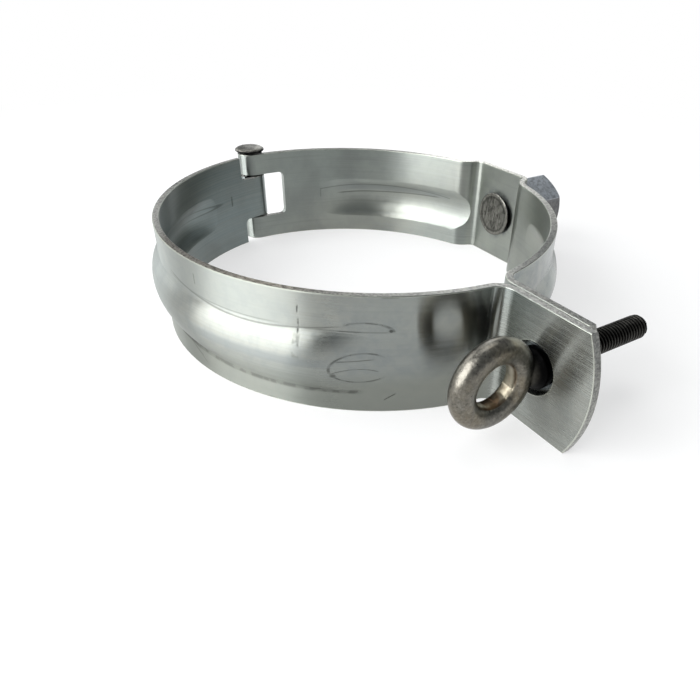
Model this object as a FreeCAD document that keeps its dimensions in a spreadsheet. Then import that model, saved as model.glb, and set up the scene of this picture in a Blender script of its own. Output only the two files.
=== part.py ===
"""Hinged downpipe bracket: two beaded strip halves, hinge pin, hex boss and eye bolt.

Millimetres, +Z up. The origin is the centre of the front half's ring, on the bottom edge.
+X runs from the hinge towards the closing flanges and +Y towards the wall.
"""
import FreeCAD, Part
import os
from math import acos, asin, atan2, ceil, cos, degrees, hypot, pi, radians, sin, sqrt

import Sketcher

Vector = FreeCAD.Vector

# Driving dimensions: alias, value in millimetres or degrees, and what it is.
DIMENSIONS = [
    ("ring_radius", 50.0, "inner radius of both halves, for a 100 mm pipe"),
    ("strip_thickness", 1.5, "galvanised strip"),
    ("strip_width", 25.0, "height of the strip on edge"),
    ("edge_rounding", 0.2, "worn arris along the strip's two edges"),
    ("closing_angle", 10.8, "swing from the closed rest to a seated 100 mm pipe"),
    ("hinge_angle", 191.4, "direction of the hinge from the front ring centre"),
    ("pin_radius", 2.0, "hinge pin shank"),
    ("pin_clearance", 0.06, "between the pin and the turning knuckle"),
    ("curl_turn", 290.0, "how far each knuckle curls round the pin"),
    ("knuckle_middle", 12.9, "middle of the slot and of the turning knuckle"),
    ("window_height", 12.7, "slot between the two fixed knuckles"),
    ("window_reach", 8.3, "slot's end beyond the pin"),
    ("tongue_height", 11.5, "turning knuckle in the middle"),
    ("shoulder_setback", 6.1, "full strip width stops this far before the pin"),
    ("pin_foot", 0.3, "lower end of the pin above the bottom edge"),
    ("pin_head_radius", 4.2, "flattened head"),
    ("pin_head_height", 1.3, "flattened head"),
    ("pin_head_lift", 0.45, "shank showing between the head and the knuckle"),
    ("flange_gap", 0.15, "between the two flanges when closed"),
    ("flange_level", -5.2, "front face of the front flange"),
    ("flange_reach", 74.5, "end of the front flange from the ring centre"),
    ("flange_step", 1.9, "rear flange is shorter by this"),
    ("flange_end_radius", 27.0, "curved end of both flanges"),
    ("flange_bend", 3.0, "outside bend radius at the flanges"),
    ("press_shift_along", -2.66, "second wall arc centre, moved along the flanges"),
    ("press_shift_back", -0.97, "second wall arc centre, moved off the wall"),
    ("plate_centre", -2.7, "boss plate centre from the ring centre"),
    ("plate_width", 14.8, "flat part of the boss plate"),
    ("plate_level", 43.9, "outer face of the boss plate"),
    ("plate_bend_outer", 5.0, "offset bend beside the ring arc"),
    ("plate_bend_inner", 2.0, "offset bend beside the plate"),
    ("bead_hollow", 4.5, "depth in which the ring's side of a bead is cleared"),
    ("bead_crown", 9.8, "crown radius on the outside"),
    ("bead_foot", 2.2, "foot radius on the outside"),
    ("bead_fade", 17.0, "turn over which a bead fades out at its ends"),
    ("bead_lead", 10.4, "straight run of the hinge side bead on to the boss plate"),
    ("bolt_along", 60.9, "eye bolt axis from the ring centre"),
    ("bolt_diameter", 5.0, "metric thread of the eye bolt"),
    ("bolt_end", 24.2, "free end of the thread behind the flanges"),
    ("bolt_clearance", 0.06, "between the shank and the collar's bore"),
    ("clearance_hole", 10.5, "oversize hole in the front flange"),
    ("collar_diameter", 8.0, "drawn collar on the rear flange"),
    ("collar_length", 2.8, "drawn collar on the rear flange"),
    ("eye_centre", -14.6, "centre of the eye in front of the flanges"),
    ("eye_ring_radius", 6.55, "middle of the eye's stock"),
    ("eye_stock", 4.9, "thickness of the eye's stock"),
    ("eye_bore_radius", 4.4, "flat inside the eye"),
    ("boss_flats", 15.0, "across flats of the hexagon"),
    ("boss_length", 16.3, "from the plate to the free end"),
    ("boss_chamfer", 0.9, "chamfer at the free end, along the axis"),
    ("boss_thread", 8.0, "metric thread in the boss"),
    ("boss_thread_depth", 13.0, "usable depth of the thread"),
    ("boss_mouth", 0.5, "countersink at the mouth of the thread"),
    ("boss_spigot", 8.0, "spigot through the plate"),
    ("clench_diameter", 12.0, "spigot spread inside the ring"),
    ("clench_height", 1.1, "spigot spread inside the ring"),
]

# Each bead where it starts and ends at its full height: the angle in degrees about its own arc
# centre, where its middle is on the strip's width, its width from foot to foot, and its height.
FRONT_BEAD = ((226.0, 12.6, 11.4, 2.3), (314.0, 11.0, 14.4, 2.3))
HINGE_SIDE_BEAD = ((112.0, 10.4, 13.0, 2.3), (143.0, 10.4, 13.0, 2.3))
FLANGE_SIDE_BEAD = ((36.0, 13.4, 11.6, 1.8), (54.0, 13.4, 11.6, 1.8))

# How far a bead's sketch starts inside the strip's face, how much metal backs it, how far apart
# its sections are in degrees, and into how many steps its fading end is divided.
BEAD_INSET = 0.08
BEAD_BACKING = 0.5
SECTION_STEP = 5.0
FADE_STEPS = 6

# How far a cutting sketch runs past the metal, and a drill's point per millimetre of radius.
BEYOND = 1.0
DRILL_POINT = 0.45


def make_sheet(document):
    """The spreadsheet that every feature reads."""
    sheet = document.addObject("Spreadsheet::Sheet", "Sizes")
    for row, (alias, value, note) in enumerate(DIMENSIONS, start=1):
        sheet.set("A%d" % row, alias)
        sheet.set("B%d" % row, str(value))
        sheet.set("C%d" % row, note)
        sheet.setAlias("B%d" % row, alias)
    document.recompute()
    return sheet


def polar(centre, radius, angle):
    """Point at a radius and an angle in degrees from a centre."""
    return Vector(centre.x + radius * cos(radians(angle)), centre.y + radius * sin(radians(angle)))


def bearing(start, end):
    """Direction in degrees from one point to another."""
    return degrees(atan2(end.y - start.y, end.x - start.x))


def meet(centre_a, radius_a, centre_b, radius_b, side):
    """Where two circles meet, on the left (side 1) or right (side -1) of the line from a to b."""
    apart = hypot(centre_b.x - centre_a.x, centre_b.y - centre_a.y)
    turn = degrees(acos((radius_a ** 2 + apart ** 2 - radius_b ** 2) / (2 * radius_a * apart)))
    return polar(centre_a, radius_a, bearing(centre_a, centre_b) + side * turn)


class Plan:
    """Centres and directions that both halves share, worked out from the sheet."""

    def __init__(self, sheet):
        wall = sheet.strip_thickness
        rim = sheet.ring_radius + wall
        self.front_centre = Vector(0, 0)
        self.pin = polar(self.front_centre, rim + sheet.pin_radius + sheet.pin_clearance, sheet.hinge_angle)
        self.front_tangent = sheet.hinge_angle - 180.0
        self.wall_tangent = self.front_tangent - sheet.closing_angle
        self.wall_centre = polar(self.pin, rim + sheet.pin_radius, self.wall_tangent)
        self.flange_centre = self.wall_centre + Vector(sheet.press_shift_along, sheet.press_shift_back)
        self.middle = sheet.strip_width / 2
        self.rear_level = sheet.flange_level + 2 * wall + sheet.flange_gap

    def offset_bends(self, sheet, side=-1):
        """Centres of the two bends from a ring arc to the plate, on its hinge (-1) or flange (1) side."""
        wall = sheet.strip_thickness
        inner = Vector(sheet.plate_centre + side * sheet.plate_width / 2,
                       sheet.plate_level - wall - sheet.plate_bend_inner)
        ring_centre = self.wall_centre if side < 0 else self.flange_centre
        path = sheet.ring_radius + wall + sheet.plate_bend_outer
        reach = sheet.plate_bend_outer + wall + sheet.plate_bend_inner
        return meet(ring_centre, path, inner, reach, -side), inner


class Stretch:
    """A curved stretch of strip: its centre, the radii of its two faces and its end angles."""

    def __init__(self, centre, ring_face, outer_face, start, end):
        self.centre = centre
        self.ring_face = ring_face
        self.outer_face = outer_face
        self.start = start
        self.end = end


def arc_edge(centre, radius, start, end):
    """A sketch arc, with which of its ends comes first on the way round."""
    low, high = sorted((radians(start), radians(end)))
    circle = Part.Circle(centre, Vector(0, 0, 1), radius)
    return Part.ArcOfCircle(circle, low, high), (1, 2) if end > start else (2, 1)


def draw_outline(sketch, pieces):
    """Close a loop of arcs (centre, radius, start, end) and corner points with straight edges."""
    loop = []
    for piece in pieces:
        if isinstance(piece, Vector):
            loop.append((None, piece, piece, None))
            continue
        centre, radius, start, end = arc = piece[:4]
        cell = piece[4] if len(piece) > 4 else None
        loop.append((arc, polar(centre, radius, start), polar(centre, radius, end), cell))
    edges = []
    for index, (arc, _, last, cell) in enumerate(loop):
        if arc:
            shape, ends = arc_edge(*arc)
            edges.append((shape, ends, cell))
        following = loop[(index + 1) % len(loop)][1]
        if last.distanceToPoint(following) > 1e-6:
            edges.append((Part.LineSegment(last, following), (1, 2), None))
    numbers = [sketch.addGeometry(shape, False) for shape, ends, cell in edges]
    for index, (shape, ends, cell) in enumerate(edges):
        following = (index + 1) % len(edges)
        sketch.addConstraint(Sketcher.Constraint(
            "Coincident", numbers[index], ends[1], numbers[following], edges[following][1][0]))
    for number, (shape, ends, cell) in zip(numbers, edges):
        if cell:
            row = sketch.addConstraint(Sketcher.Constraint("Radius", number, shape.Radius))
            sketch.setExpression("Constraints[%d]" % row, cell)


def strip_outline(stretches, flange_end, face_cells):
    """Loop round a strip: along its ring face, round the flange's end and back on its outer face."""
    ring_face = [(s.centre, s.ring_face, s.start, s.end) for s in stretches]
    outer_face = [(s.centre, s.outer_face, s.end, s.start) for s in reversed(stretches)]
    ring_face = [piece + (face_cells.get(index, (None, None))[0],) for index, piece in enumerate(ring_face)]
    last = len(stretches) - 1
    outer_face = [piece + (face_cells.get(last - index, (None, None))[1],)
                  for index, piece in enumerate(outer_face)]
    ring_end = polar(stretches[-1].centre, stretches[-1].ring_face, stretches[-1].end)
    outer_end = polar(stretches[-1].centre, stretches[-1].outer_face, stretches[-1].end)
    corners = [Vector(flange_end, ring_end.y), Vector(flange_end, outer_end.y)]
    return ring_face + corners + outer_face


def new_body(document, label):
    """An empty body whose label names its file."""
    body = document.addObject("PartDesign::Body", label)
    body.Label = label
    return body


def sketch_at(body, name, origin, across, normal):
    """A sketch in the body, with its own origin, its first axis and its normal."""
    plane = next(item for item in body.Origin.OriginFeatures if item.Role == "XY_Plane")
    sketch = body.newObject("Sketcher::SketchObject", name)
    sketch.AttachmentSupport = [(plane, "")]
    sketch.MapMode = "FlatFace"
    up = normal.cross(across)
    sketch.AttachmentOffset = FreeCAD.Placement(origin, FreeCAD.Rotation(across, up, normal, "ZXY"))
    return sketch


def feature(body, kind, name, sketch, **settings):
    """A PartDesign feature made from a sketch; text settings are bound to the sheet."""
    made = body.newObject("PartDesign::" + kind, name)
    made.Profile = sketch
    sketch.Visibility = False
    for key, value in settings.items():
        if isinstance(value, str) and value.startswith("="):
            made.setExpression(key, value[1:])
        else:
            setattr(made, key, value)
    return made


def turned(body, kind, name, sketch):
    """A full revolution or groove about the sketch's upright axis."""
    made = body.newObject("PartDesign::" + kind, name)
    made.Profile = sketch
    made.ReferenceAxis = (sketch, ["V_Axis"])
    made.Angle = 360.0
    sketch.Visibility = False
    return made


def upright_sketch(body, name, centre, angle):
    """A sketch on an upright plane through a vertical axis, facing a direction in degrees."""
    outward = Vector(cos(radians(angle)), sin(radians(angle)), 0)
    return sketch_at(body, name, Vector(centre.x, centre.y, 0), outward, Vector(outward.y, -outward.x, 0))


class Bead:
    """A pressed bead, whose middle, width and height may change evenly between its two ends."""

    def __init__(self, sheet, name, centre, ends, leads=False):
        self.name = name
        self.centre = centre
        self.first, self.last = ends
        self.leads = leads
        self.fade = sheet.bead_fade

    def at(self, angle):
        """Middle, width and full height at an angle."""
        way = (angle - self.first[0]) / (self.last[0] - self.first[0])
        way = min(1.0, max(0.0, way))
        return [low + (high - low) * way for low, high in zip(self.first[1:], self.last[1:])]

    def stations(self):
        """Angles of the sections along the bead, each with its share of the full height."""
        start, end = self.first[0], self.last[0]
        spans = ceil((end - start) / SECTION_STEP)
        full = [(start + (end - start) * span / spans, 1.0) for span in range(spans + 1)]
        ways = [step / FADE_STEPS for step in range(1, FADE_STEPS + 1)]
        shares = [(way, (1 + cos(pi * way)) / 2) for way in ways]
        before = [] if self.leads else [(start - self.fade * way, share) for way, share in reversed(shares)]
        return before + full + [(end + self.fade * way, share) for way, share in shares]


def bead_curve(sheet, middle, width, height, ring_face):
    """The bead's face seen along the strip, from its lower foot to its upper foot."""
    rim = sheet.ring_radius + sheet.strip_thickness - BEAD_INSET
    half = width / 2
    slope = 2 * degrees(atan2(height, half))
    stretch = half / sin(radians(slope)) / (sheet.bead_crown + sheet.bead_foot)
    crown = sheet.bead_crown * stretch
    foot = sheet.bead_foot * stretch
    offset = sheet.strip_thickness if ring_face else 0.0
    return [
        (Vector(rim + foot, middle - half), foot + offset, 180.0, 180.0 - slope),
        (Vector(rim + height - crown, middle), crown - offset, -slope, slope),
        (Vector(rim + foot, middle + half), foot + offset, 180.0 + slope, 180.0),
    ]


def bead_section(body, sheet, bead, label, angle, share, ring_face):
    """Sketch of the metal that a bead adds outside, or of the hollow that it leaves inside."""
    sketch = upright_sketch(body, bead.name + label, bead.centre, angle)
    depth = sheet.bead_hollow if ring_face else BEAD_BACKING
    back = sheet.ring_radius + sheet.strip_thickness - depth
    middle, width, height = bead.at(angle)
    corners = [Vector(back, middle + width / 2), Vector(back, middle - width / 2)]
    height = max(BEAD_INSET / 2, height * share)
    draw_outline(sketch, bead_curve(sheet, middle, width, height, ring_face) + corners)
    return sketch


def press_bead(body, sheet, plan, bead):
    """A bead pressed outwards: its ends fade out at their full width, or its start leads straight on."""
    for label, ring_face in (("Metal", False), ("Hollow", True)):
        sections = [
            bead_section(body, sheet, bead, "%sSection%d" % (label, number), angle, share, ring_face)
            for number, (angle, share) in enumerate(bead.stations(), start=1)
        ]
        loft = body.newObject("PartDesign::SubtractiveLoft" if ring_face else "PartDesign::AdditiveLoft",
                              bead.name + label)
        loft.Profile = sections[0]
        loft.Sections = sections[1:]
        for section in sections:
            section.Visibility = False
        if not bead.leads:
            continue
        section = bead_section(body, sheet, bead, label + "LeadSection", bead.first[0], 1.0, ring_face)
        if ring_face:
            feature(body, "Pocket", "LeadSunk", section, Reversed=True, Length="=Sizes.bead_lead")
        else:
            feature(body, "Pad", "LeadRaised", section, Length="=Sizes.bead_lead")
            trim_offset(body, sheet, plan, bead)


def trim_offset(body, sheet, plan, bead):
    """Clear the ring's side of the offset beside the boss plate, where a bead's backing ends."""
    outer, inner = plan.offset_bends(sheet)
    ring, wall = sheet.ring_radius, sheet.strip_thickness
    outer_turn = bearing(bead.centre, outer)
    inner_turn = bearing(inner, outer)
    face = sheet.plate_level - wall
    start, middle, width = bead.first[:3]
    level = Vector(0, 0, middle)
    sketch = sketch_at(body, "OffsetTrimOutline", level, Vector(1, 0, 0), Vector(0, 0, 1))
    draw_outline(sketch, [
        (bead.centre, ring, start + sheet.closing_angle, outer_turn),
        (outer, sheet.plate_bend_outer + wall, outer_turn - 180.0, inner_turn - 180.0),
        (inner, sheet.plate_bend_inner, inner_turn, 90.0),
        Vector(sheet.plate_centre, face),
        Vector(sheet.plate_centre, face - sheet.plate_width),
    ])
    feature(body, "Pocket", "OffsetTrim", sketch, Midplane=True, Length=width + 2 * BEYOND)


def strip_pad(body, pieces):
    """The bent strip on edge, with its two long edges rounded."""
    sketch = sketch_at(body, body.Label + "_outline", Vector(0, 0, 0), Vector(1, 0, 0), Vector(0, 0, 1))
    draw_outline(sketch, pieces)
    pad = feature(body, "Pad", "Strip", sketch, Length="=Sizes.strip_width")
    body.Document.recompute()
    flat = [
        "Face%d" % number for number, face in enumerate(pad.Shape.Faces, start=1)
        if isinstance(face.Surface, Part.Plane) and abs(face.normalAt(0, 0).z) > 0.99
    ]
    rounding = body.newObject("PartDesign::Fillet", "EdgeRounding")
    rounding.Base = (pad, flat)
    rounding.setExpression("Radius", "Sizes.edge_rounding")
    return rounding


def flange_bend(sheet, centre, level, side):
    """The bend from a ring arc into a flange whose outer face is at a level, on one side of it."""
    rim = sheet.ring_radius + sheet.strip_thickness
    bend = sheet.flange_bend
    height = level + side * bend - centre.y
    middle = Vector(centre.x + sqrt((rim + bend) ** 2 - height ** 2), level + side * bend)
    return middle, bearing(centre, middle)


def round_flange_end(body, sheet, plan, reach, level):
    """Cut both corners of a flange to its curved end."""
    centre = Vector(reach - sheet.flange_end_radius, plan.middle)
    spread = degrees(asin((plan.middle + BEYOND) / sheet.flange_end_radius))
    past = reach + BEYOND
    sketch = sketch_at(body, "FlangeEndOutline", Vector(0, level, 0), Vector(1, 0, 0), Vector(0, -1, 0))
    draw_outline(sketch, [
        (centre, sheet.flange_end_radius, -spread, spread, "Sizes.flange_end_radius"),
        Vector(past, polar(centre, sheet.flange_end_radius, spread).y),
        Vector(past, polar(centre, sheet.flange_end_radius, -spread).y),
    ])
    feature(body, "Pocket", "FlangeEnd", sketch, Midplane=True, Length=4 * sheet.strip_thickness)


def round_hole(body, name, origin, normal, across, cell, depth):
    """A round hole equal on both sides of a point, its diameter read from the sheet."""
    sketch = sketch_at(body, name + "Outline", origin, across, normal)
    circle = sketch.addGeometry(Part.Circle(Vector(0, 0), Vector(0, 0, 1), 1.0), False)
    sketch.addConstraint(Sketcher.Constraint("Coincident", circle, 3, -1, 1))
    row = sketch.addConstraint(Sketcher.Constraint("Diameter", circle, 2.0))
    sketch.setExpression("Constraints[%d]" % row, cell)
    return feature(body, "Pocket", name, sketch, Midplane=True, Length=depth)


def rounded_box(low, high, radius, corners):
    """A rectangle's loop, with the named corners rounded: low_right, high_right, high_left, low_left."""
    places = {
        "low_right": (Vector(high.x, low.y), Vector(-1, 1), -90.0),
        "high_right": (Vector(high.x, high.y), Vector(-1, -1), 0.0),
        "high_left": (Vector(low.x, high.y), Vector(1, -1), 90.0),
        "low_left": (Vector(low.x, low.y), Vector(1, 1), 180.0),
    }
    loop = []
    for name, (corner, inwards, start) in places.items():
        if name in corners:
            loop.append((corner + inwards * radius, radius, start, start + 90.0))
        else:
            loop.append(corner)
    return loop


def make_wall_band(document, sheet, plan):
    """The half that is fixed to the wall: two knuckles, boss plate and tapped rear flange."""
    body = new_body(document, "wall_band")
    ring, wall = sheet.ring_radius, sheet.strip_thickness
    left_outer, left = plan.offset_bends(sheet, -1)
    right_outer, right = plan.offset_bends(sheet, 1)
    left_start = bearing(plan.wall_centre, left_outer)
    right_start = bearing(plan.flange_centre, right_outer)
    left_turn = bearing(left, left_outer)
    right_turn = bearing(right, right_outer)
    bend, bend_start = flange_bend(sheet, plan.flange_centre, plan.rear_level, 1)
    outer, inner, fold = sheet.plate_bend_outer, sheet.plate_bend_inner, sheet.flange_bend
    stretches = [
        Stretch(plan.pin, sheet.pin_radius + wall, sheet.pin_radius,
                plan.wall_tangent - sheet.curl_turn, plan.wall_tangent),
        Stretch(plan.wall_centre, ring, ring + wall, plan.wall_tangent + 180.0, left_start),
        Stretch(left_outer, outer + wall, outer, left_start - 180.0, left_turn - 180.0),
        Stretch(left, inner, inner + wall, left_turn, 90.0),
        Stretch(right, inner, inner + wall, 90.0, right_turn),
        Stretch(right_outer, outer + wall, outer, right_turn + 180.0, right_start + 180.0),
        Stretch(plan.flange_centre, ring, ring + wall, right_start, bend_start),
        Stretch(bend, fold + wall, fold, bend_start + 180.0, 270.0),
    ]
    cells = {1: ("Sizes.ring_radius", None), 6: ("Sizes.ring_radius", None), 7: (None, "Sizes.flange_bend")}
    reach = sheet.flange_reach - sheet.flange_step
    strip_pad(body, strip_outline(stretches, reach, cells))
    round_flange_end(body, sheet, plan, reach, plan.rear_level)
    press_bead(body, sheet, plan, Bead(sheet, "HingeSide", plan.wall_centre, HINGE_SIDE_BEAD, leads=True))
    press_bead(body, sheet, plan, Bead(sheet, "FlangeSide", plan.flange_centre, FLANGE_SIDE_BEAD))
    cut_window(body, sheet, plan)
    add_collar(body, sheet, plan)
    spigot_place = Vector(sheet.plate_centre, sheet.plate_level, plan.middle)
    round_hole(body, "SpigotHole", spigot_place, Vector(0, 1, 0), Vector(-1, 0, 0),
               "Sizes.boss_spigot", 4 * wall)
    return body


def cut_window(body, sheet, plan):
    """The slot that leaves two knuckles and lets the tongue swing."""
    along = Vector(-sin(radians(plan.wall_tangent)), cos(radians(plan.wall_tangent)), 0)
    across = Vector(cos(radians(plan.wall_tangent)), sin(radians(plan.wall_tangent)), 0)
    sketch = sketch_at(body, "WindowOutline", Vector(plan.pin.x, plan.pin.y, 0), along, across)
    half = sheet.window_height / 2
    barrel = sheet.pin_radius + sheet.strip_thickness
    low = Vector(-2 * barrel, sheet.knuckle_middle - half)
    high = Vector(sheet.window_reach, sheet.knuckle_middle + half)
    draw_outline(sketch, rounded_box(low, high, sheet.strip_thickness, ("low_right", "high_right")))
    feature(body, "Pocket", "Window", sketch, Midplane=True, Length=5 * barrel)


def add_collar(body, sheet, plan):
    """A drawn collar on the rear flange, bored for the eye bolt's thread."""
    origin = Vector(sheet.bolt_along, plan.rear_level, plan.middle)
    sketch = sketch_at(body, "CollarOutline", origin, Vector(-1, 0, 0), Vector(0, 1, 0))
    circle = sketch.addGeometry(Part.Circle(Vector(0, 0), Vector(0, 0, 1), 1.0), False)
    sketch.addConstraint(Sketcher.Constraint("Coincident", circle, 3, -1, 1))
    row = sketch.addConstraint(Sketcher.Constraint("Diameter", circle, 2.0))
    sketch.setExpression("Constraints[%d]" % row, "Sizes.collar_diameter")
    feature(body, "Pad", "Collar", sketch, Length="=Sizes.collar_length")
    round_hole(body, "CollarBore", origin, Vector(0, 1, 0), Vector(-1, 0, 0),
               "Sizes.bolt_diameter + 2 * Sizes.bolt_clearance", 4 * sheet.collar_length)


def make_front_band(document, sheet, plan):
    """The half that swings open: middle knuckle, long bead and front flange."""
    body = new_body(document, "front_band")
    ring, wall = sheet.ring_radius, sheet.strip_thickness
    bore = sheet.pin_radius + sheet.pin_clearance
    bend, bend_start = flange_bend(sheet, plan.front_centre, sheet.flange_level, -1)
    stretches = [
        Stretch(plan.pin, bore + wall, bore, plan.front_tangent + sheet.curl_turn, plan.front_tangent),
        Stretch(plan.front_centre, ring, ring + wall, sheet.hinge_angle, bend_start + 360.0),
        Stretch(bend, sheet.flange_bend + wall, sheet.flange_bend, bend_start + 180.0, 90.0),
    ]
    cells = {1: ("Sizes.ring_radius", None), 2: (None, "Sizes.flange_bend")}
    strip_pad(body, strip_outline(stretches, sheet.flange_reach, cells))
    round_flange_end(body, sheet, plan, sheet.flange_reach, sheet.flange_level)
    press_bead(body, sheet, plan, Bead(sheet, "Front", plan.front_centre, FRONT_BEAD))
    cut_tongue(body, sheet, plan)
    hole_place = Vector(sheet.bolt_along, sheet.flange_level, plan.middle)
    round_hole(body, "BoltHole", hole_place, Vector(0, 1, 0), Vector(-1, 0, 0),
               "Sizes.clearance_hole", 4 * wall)
    return body


def cut_tongue(body, sheet, plan):
    """Notches above and below the tongue, clear of the fixed knuckles."""
    along = Vector(-sin(radians(plan.front_tangent)), cos(radians(plan.front_tangent)), 0)
    across = Vector(cos(radians(plan.front_tangent)), sin(radians(plan.front_tangent)), 0)
    half = sheet.tongue_height / 2
    barrel = sheet.pin_radius + sheet.strip_thickness
    low = -sheet.shoulder_setback
    high = 2 * barrel
    corner = sheet.strip_thickness
    above = sheet.strip_width + BEYOND
    notches = [
        ("UpperNotch", Vector(low, sheet.knuckle_middle + half), Vector(high, above), ("low_left",)),
        ("LowerNotch", Vector(low, -BEYOND), Vector(high, sheet.knuckle_middle - half), ("high_left",)),
    ]
    for name, first, last, corners in notches:
        sketch = sketch_at(body, name + "Outline", Vector(plan.pin.x, plan.pin.y, 0), along, across)
        draw_outline(sketch, rounded_box(first, last, corner, corners))
        feature(body, "Pocket", name, sketch, Midplane=True, Length=5 * barrel)


def make_hinge_pin(document, sheet, plan):
    """Shank with a flattened head, turned about its own axis."""
    body = new_body(document, "hinge_pin")
    sketch = upright_sketch(body, "PinSection", plan.pin, 0.0)
    radius, head = sheet.pin_radius, sheet.pin_head_radius
    under = sheet.strip_width + sheet.pin_head_lift
    lip = sheet.pin_head_height / 4
    foot = sheet.pin_radius / 5
    draw_outline(sketch, [
        Vector(0, sheet.pin_foot),
        Vector(radius - foot, sheet.pin_foot),
        Vector(radius, sheet.pin_foot + foot),
        Vector(radius, under),
        (Vector(head - lip, under + lip), lip, -90.0, 45.0),
        Vector(head - 3 * lip, under + sheet.pin_head_height),
        Vector(0, under + sheet.pin_head_height),
    ])
    turned(body, "Revolution", "Pin", sketch)
    return body


def make_hex_boss(document, sheet, plan):
    """Hexagon with a blind thread, its spigot spread over the inside of the plate."""
    body = new_body(document, "hex_boss")
    base = Vector(sheet.plate_centre, sheet.plate_level, plan.middle)
    corner = sheet.boss_flats / sqrt(3)
    hexagon = sketch_at(body, "Hexagon", base, Vector(-1, 0, 0), Vector(0, 1, 0))
    draw_outline(hexagon, [polar(Vector(0, 0), corner, 30.0 + 60.0 * side) for side in range(6)])
    feature(body, "Pad", "Hex", hexagon, Length="=Sizes.boss_length")
    spigot = sketch_at(body, "SpigotSection", base, Vector(1, 0, 0), Vector(0, 0, 1))
    radius, spread = sheet.boss_spigot / 2, sheet.clench_diameter / 2
    inside = -sheet.strip_thickness
    top = inside - sheet.clench_height
    lip = sheet.clench_height / 3
    draw_outline(spigot, [
        Vector(0, BEYOND), Vector(radius, BEYOND), Vector(radius, inside), Vector(spread, inside),
        Vector(spread, inside - lip), Vector(spread - 2 * lip, top), Vector(0, top),
    ])
    turned(body, "Revolution", "Spigot", spigot)
    chamfer = sketch_at(body, "ChamferSection", base, Vector(1, 0, 0), Vector(0, 0, 1))
    end = sheet.boss_length
    flat = sheet.boss_flats / 2 - sheet.edge_rounding
    past = corner + sheet.edge_rounding
    draw_outline(chamfer, [
        Vector(flat, end + BEYOND), Vector(flat, end),
        Vector(past, end - sheet.boss_chamfer), Vector(past, end + BEYOND),
    ])
    turned(body, "Groove", "Chamfer", chamfer)
    bore = sketch_at(body, "ThreadSection", base, Vector(1, 0, 0), Vector(0, 0, 1))
    thread = sheet.boss_thread / 2
    floor = end - sheet.boss_thread_depth
    draw_outline(bore, [
        Vector(0, end + BEYOND), Vector(thread + sheet.boss_mouth + BEYOND, end + BEYOND),
        Vector(thread, end - sheet.boss_mouth), Vector(thread, floor),
        Vector(0, floor - DRILL_POINT * thread),
    ])
    turned(body, "Groove", "ThreadBore", bore)
    return body


def make_eye_bolt(document, sheet, plan):
    """Threaded shank and a forged eye with a flat bore."""
    body = new_body(document, "eye_bolt")
    middle = Vector(sheet.bolt_along, sheet.eye_centre, plan.middle)
    stock = sheet.eye_stock / 2
    lean = degrees(acos((sheet.eye_ring_radius - sheet.eye_bore_radius) / stock))
    eye = sketch_at(body, "EyeSection", middle, Vector(0, 0, 1), Vector(0, -1, 0))
    centre = Vector(sheet.eye_ring_radius, 0)
    draw_outline(eye, [(centre, stock, lean - 180.0, 180.0 - lean)])
    turned(body, "Revolution", "Eye", eye)
    shank = sketch_at(body, "ShankSection", middle, Vector(1, 0, 0), Vector(0, 0, 1))
    radius = sheet.bolt_diameter / 2
    end = sheet.bolt_end - sheet.eye_centre
    start = sheet.eye_ring_radius
    root = sheet.eye_ring_radius + stock
    tip = radius / 4
    draw_outline(shank, [
        Vector(0, start), Vector(radius - tip, start), Vector(radius, root),
        Vector(radius, end - tip), Vector(radius - tip, end), Vector(0, end),
    ])
    turned(body, "Revolution", "Shank", shank)
    return body


def check_document(document):
    """Stop on any failed feature or on a solid that isn't one closed, valid piece."""
    failed = [item.Name for item in document.Objects if set(item.State) & {"Invalid", "Error"}]
    if failed:
        raise RuntimeError("features failed: " + ", ".join(failed))
    for body in document.findObjects("PartDesign::Body"):
        shape = body.Shape
        if shape.isNull() or not shape.isValid() or len(shape.Solids) != 1:
            raise RuntimeError("%s isn't one valid solid" % body.Label)


def main():
    document = FreeCAD.newDocument("DownpipeBracket")
    sheet = make_sheet(document)
    plan = Plan(sheet)
    makers = (make_wall_band, make_front_band, make_hinge_pin, make_hex_boss, make_eye_bolt)
    bodies = [maker(document, sheet, plan) for maker in makers]
    document.recompute()
    check_document(document)
    os.makedirs("parts", exist_ok=True)
    for body in bodies:
        body.Shape.exportStep("parts/%s.step" % body.Label)
        print("%s: %.1f mm3" % (body.Label, body.Shape.Volume))


main()
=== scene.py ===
from math import cos, pi, radians

import bmesh
import bpy
from bpy.props import FloatProperty, FloatVectorProperty, PointerProperty
from mathutils import Matrix, Vector


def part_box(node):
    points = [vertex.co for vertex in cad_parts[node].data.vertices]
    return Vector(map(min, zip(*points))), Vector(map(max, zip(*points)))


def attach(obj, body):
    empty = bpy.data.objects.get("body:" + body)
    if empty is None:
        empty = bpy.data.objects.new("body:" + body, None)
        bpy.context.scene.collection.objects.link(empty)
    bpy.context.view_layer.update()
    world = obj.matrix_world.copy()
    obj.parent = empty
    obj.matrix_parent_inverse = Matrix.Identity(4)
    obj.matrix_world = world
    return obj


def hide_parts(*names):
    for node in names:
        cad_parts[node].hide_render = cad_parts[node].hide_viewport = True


bl_info = {
    "name": "Downpipe Bracket",
    "version": (1, 0, 0),
    "blender": (4, 5, 0),
    "location": "View3D > Sidebar > Bracket",
    "description": "Finishes and detail pieces of a hinged downpipe bracket",
    "category": "Object",
}

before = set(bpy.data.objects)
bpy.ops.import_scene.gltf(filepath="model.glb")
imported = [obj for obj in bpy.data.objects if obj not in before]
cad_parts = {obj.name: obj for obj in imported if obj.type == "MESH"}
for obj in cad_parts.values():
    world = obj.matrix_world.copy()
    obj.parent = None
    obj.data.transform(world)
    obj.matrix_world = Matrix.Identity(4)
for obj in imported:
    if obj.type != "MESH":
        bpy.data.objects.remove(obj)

MM = 0.001

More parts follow.
